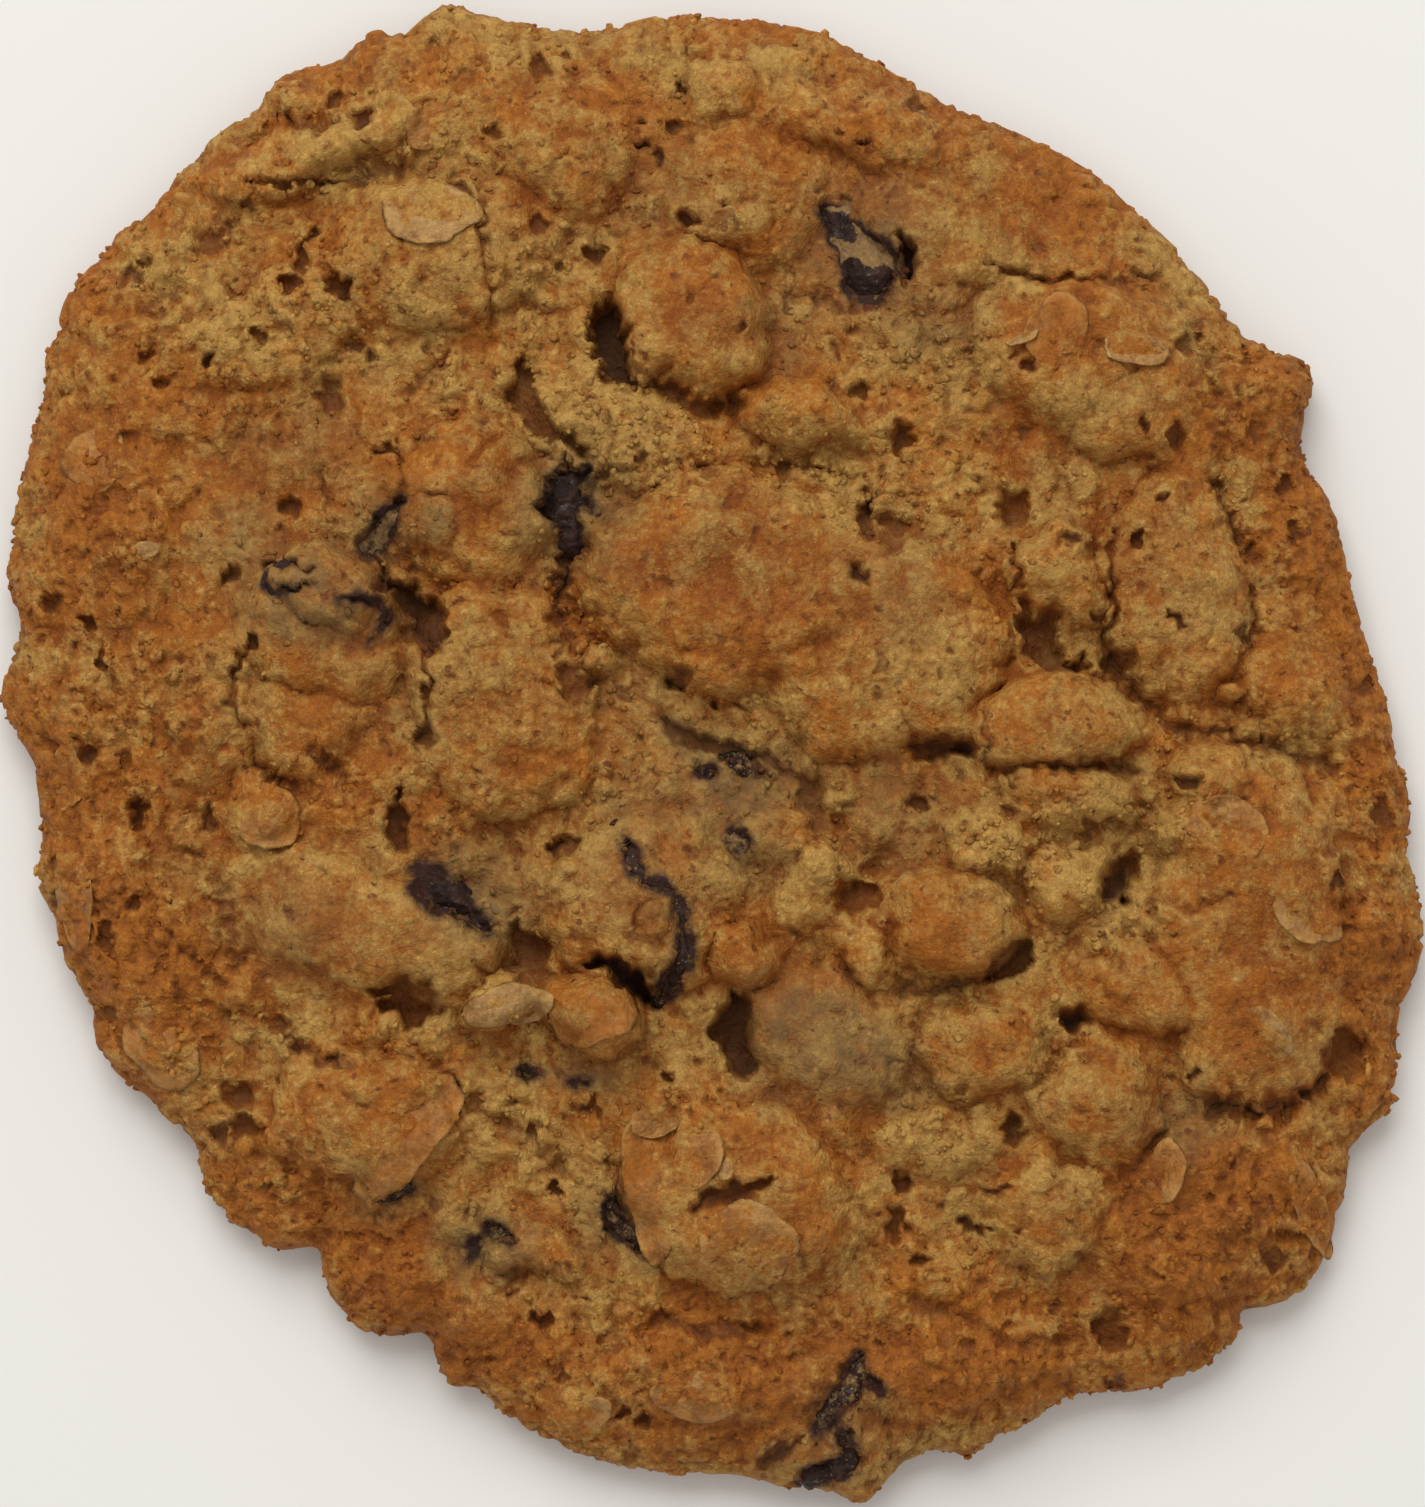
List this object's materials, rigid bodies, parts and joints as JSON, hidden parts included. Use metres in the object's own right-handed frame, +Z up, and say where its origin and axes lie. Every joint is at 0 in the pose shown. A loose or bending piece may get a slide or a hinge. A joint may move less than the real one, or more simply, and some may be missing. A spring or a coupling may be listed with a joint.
{
  "type": "oatmeal raisin cookie",
  "caption": "Large soft round oat cookie with a lumpy, cracked golden-brown top, dark dried fruit set in pockets, and a flat baked underside to rest on.",
  "frame": {"origin": "middle of the bounding box, on the flat underside", "axes": "+Z up through the cookie's thickness, +Y towards the top of the picture along the longer way across, +X to its right"},
  "size_m": [0.0948, 0.1003, 0.014],
  "materials": {
    "dough": "matte baked oat dough, tan brown, with orange-brown lumps and paler crumb",
    "raisin": "wrinkled, near-black purple skin with a soft gloss"
  },
  "bodies": {
    "root": {"dough": "dough", "raisin_01": "raisin", "raisin_02": "raisin", "raisin_03": "raisin", "raisin_04": "raisin", "raisin_05": "raisin", "raisin_06": "raisin", "raisin_07": "raisin", "raisin_08": "raisin", "raisin_09": "raisin", "raisin_10": "raisin", "raisin_11": "raisin", "raisin_12": "raisin", "raisin_13": "raisin", "raisin_14": "raisin"}
  },
  "joints": []
}
